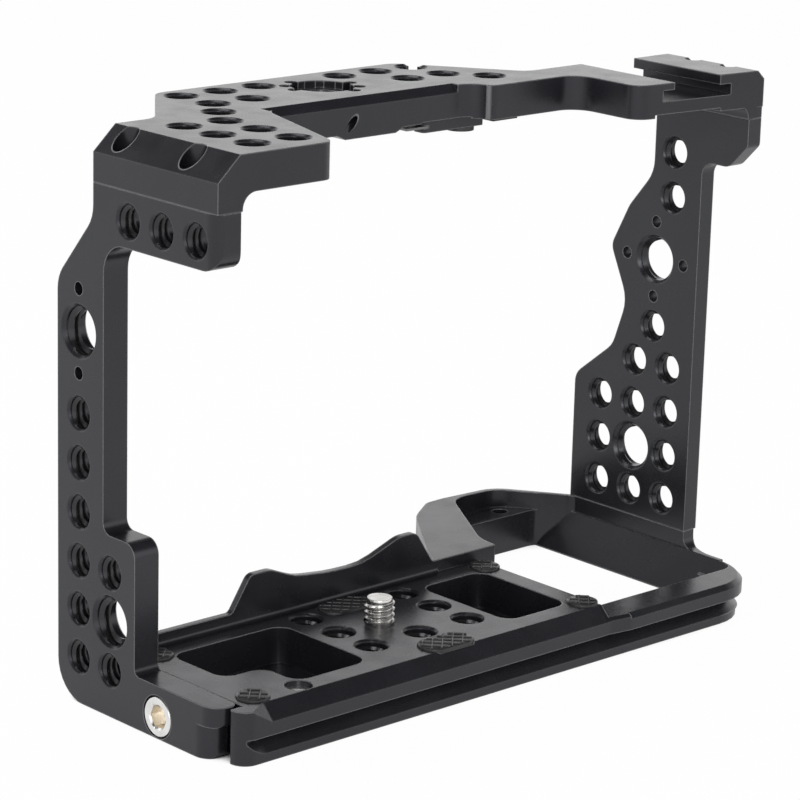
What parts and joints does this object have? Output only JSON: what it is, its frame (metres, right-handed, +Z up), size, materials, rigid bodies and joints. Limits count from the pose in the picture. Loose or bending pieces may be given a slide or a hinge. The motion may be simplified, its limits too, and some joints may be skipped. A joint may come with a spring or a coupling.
{
  "type": "camera cage",
  "caption": "Black aluminium camera cage: base plate with battery opening, side plates and a top plate with shoe, covered in threaded accessory holes, bolted round a captive camera screw.",
  "frame": {"origin": "middle of the threaded hole pattern round the camera screw, on the base plate's top face", "axes": "+X to the operator's right (the battery and grip side), +Y to the lens side, +Z up"},
  "size_m": [0.1533, 0.0732, 0.1173],
  "materials": {
    "anodised": "black anodised, fine satin",
    "pad_rubber": "ribbed matt rubber",
    "screw_steel": "bright turned steel",
    "dark_screw": "black oxide steel",
    "retainer": "dull steel",
    "magnet": "plated magnet"
  },
  "bodies": {
    "cage": {"base_plate": "anodised", "left_plate": "anodised", "top_plate": "anodised", "right_plate": "anodised", "pad_front_left": "pad_rubber", "pad_rear_left": "pad_rubber", "pad_front_right": "pad_rubber", "pad_rear_right": "pad_rubber", "pad_centre_front": "pad_rubber", "pad_centre_rear": "pad_rubber", "foot_screw": "screw_steel", "top_left_screws": "dark_screw", "top_right_screws": "dark_screw", "right_foot_screws": "dark_screw", "key_magnet": "magnet", "locator": "anodised", "locator_screw": "dark_screw", "locator_spring": "screw_steel", "arm_pad": "pad_rubber"},
    "retainer": {"screw_retainer": "retainer"},
    "screw": {"camera_screw": "screw_steel"}
  },
  "joints": [
    {"name": "screw_drop", "type": "slide", "parent": "cage", "child": "retainer", "axis": [0, 0, 1], "range_m": [-0.002, 0]},
    {"name": "screw_turn", "type": "hinge", "parent": "retainer", "child": "screw", "pos_m": [-0.0017, 0.0005, 0], "axis": [0, 0, 1], "range_deg": [-567, 0]}
  ],
  "couplings": [
    {"joint": "screw_turn", "follows": "screw_drop", "rad_per_m": 4947.4}
  ]
}
